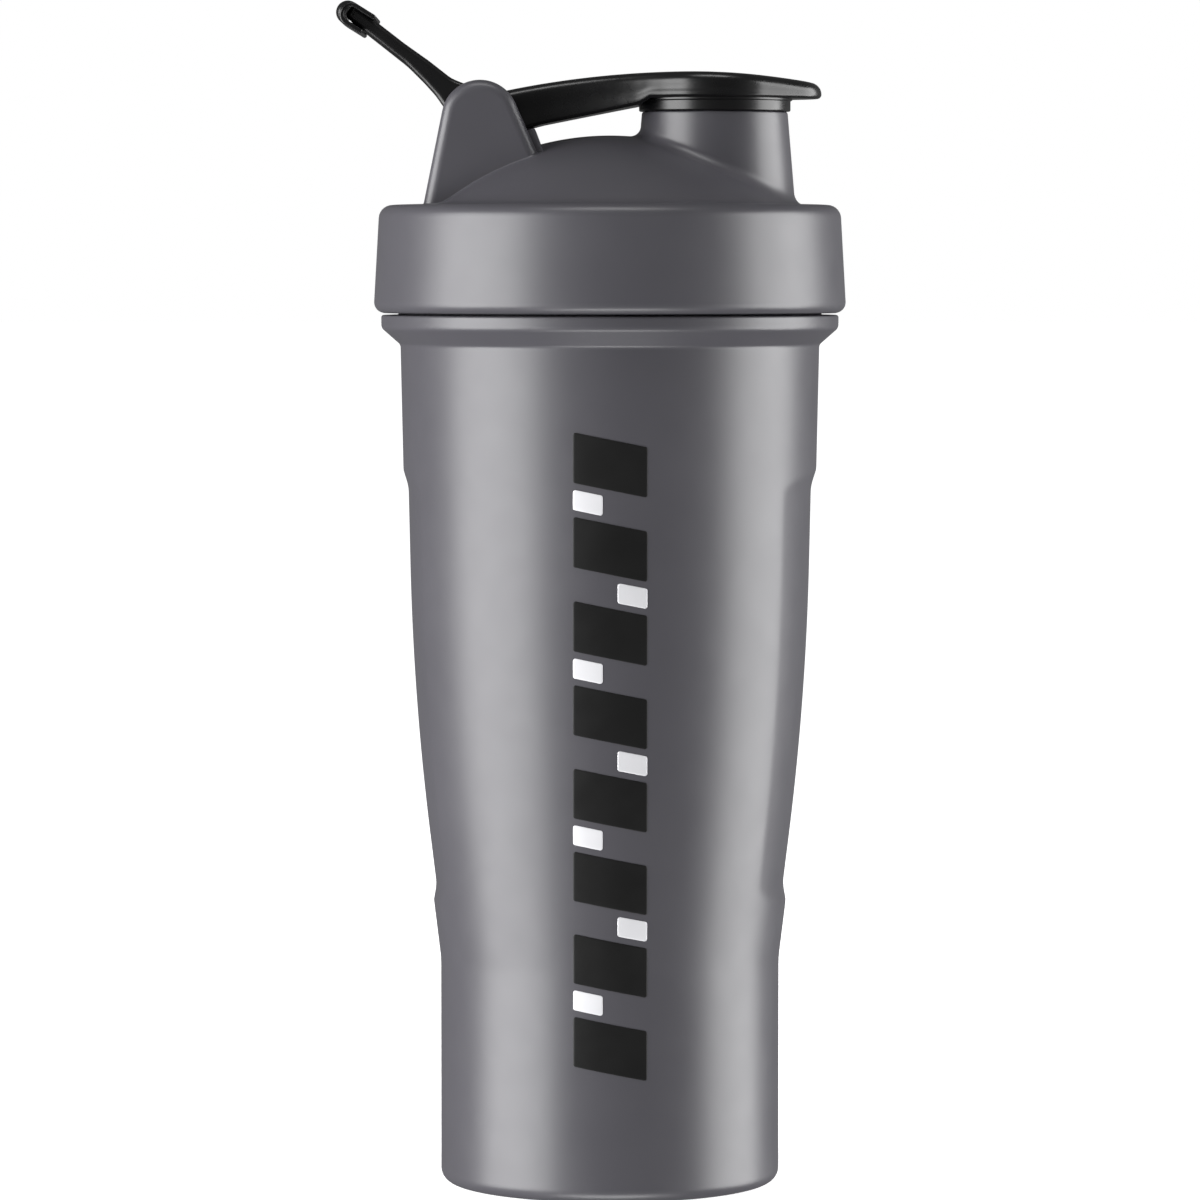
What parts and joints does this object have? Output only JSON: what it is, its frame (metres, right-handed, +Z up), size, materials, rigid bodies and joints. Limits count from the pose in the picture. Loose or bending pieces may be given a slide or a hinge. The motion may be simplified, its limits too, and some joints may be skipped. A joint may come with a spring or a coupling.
{
  "type": "protein shaker bottle",
  "caption": "Tapered shaker cup with side grips, a screw lid with an off-centre spout, a hinged flip cap, a carry loop and a loose wire whisk ball.",
  "frame": {"origin": "centre of the base, on the surface that the bottle stands on", "axes": "+Z up along the cup's axis, +X towards the spout, -Y towards the printed front"},
  "size_m": [0.1046, 0.0974, 0.2437],
  "materials": {
    "grey_plastic": "satin moulded polypropylene",
    "black_plastic": "satin moulded polypropylene",
    "seal_silicone": "smooth silicone",
    "ball_wire": "polished stainless wire",
    "black_ink": "screen-printed ink",
    "silver_ink": "screen-printed metallic ink"
  },
  "bodies": {
    "cup": {"bottle": "grey_plastic", "print_black": "black_ink", "print_silver": "silver_ink"},
    "gasket": {"lid_gasket": "seal_silicone"},
    "lid": {"lid": "grey_plastic"},
    "cap": {"flip_cap": "black_plastic", "spout_seal": "seal_silicone"},
    "loop": {"carry_loop": "black_plastic"},
    "ball": {"whisk_ball": "ball_wire"}
  },
  "joints": [
    {"name": "lid_rise", "type": "slide", "parent": "cup", "child": "gasket", "axis": [0, 0, 1], "range_m": [0, 0.026]},
    {"name": "lid_twist", "type": "hinge", "parent": "gasket", "child": "lid", "pos_m": [0, 0, 0.19], "axis": [0, 0, 1], "range_deg": [0, 900]},
    {"name": "cap_flip", "type": "hinge", "parent": "lid", "child": "cap", "pos_m": [-0.0265, 0, 0.21965], "axis": [0, -1, 0], "range_deg": [0, 110]},
    {"name": "loop_swing", "type": "hinge", "parent": "lid", "child": "loop", "pos_m": [-0.0265, 0, 0.21965], "axis": [0, -1, 0], "range_deg": [-5, 70]},
    {"name": "ball_lift", "type": "slide", "parent": "cup", "child": "ball", "axis": [0, 0, 1], "range_m": [0, 0.13]}
  ],
  "couplings": [
    {"joint": "lid_rise", "follows": "lid_twist", "m_per_rad": 0.0015915}
  ]
}
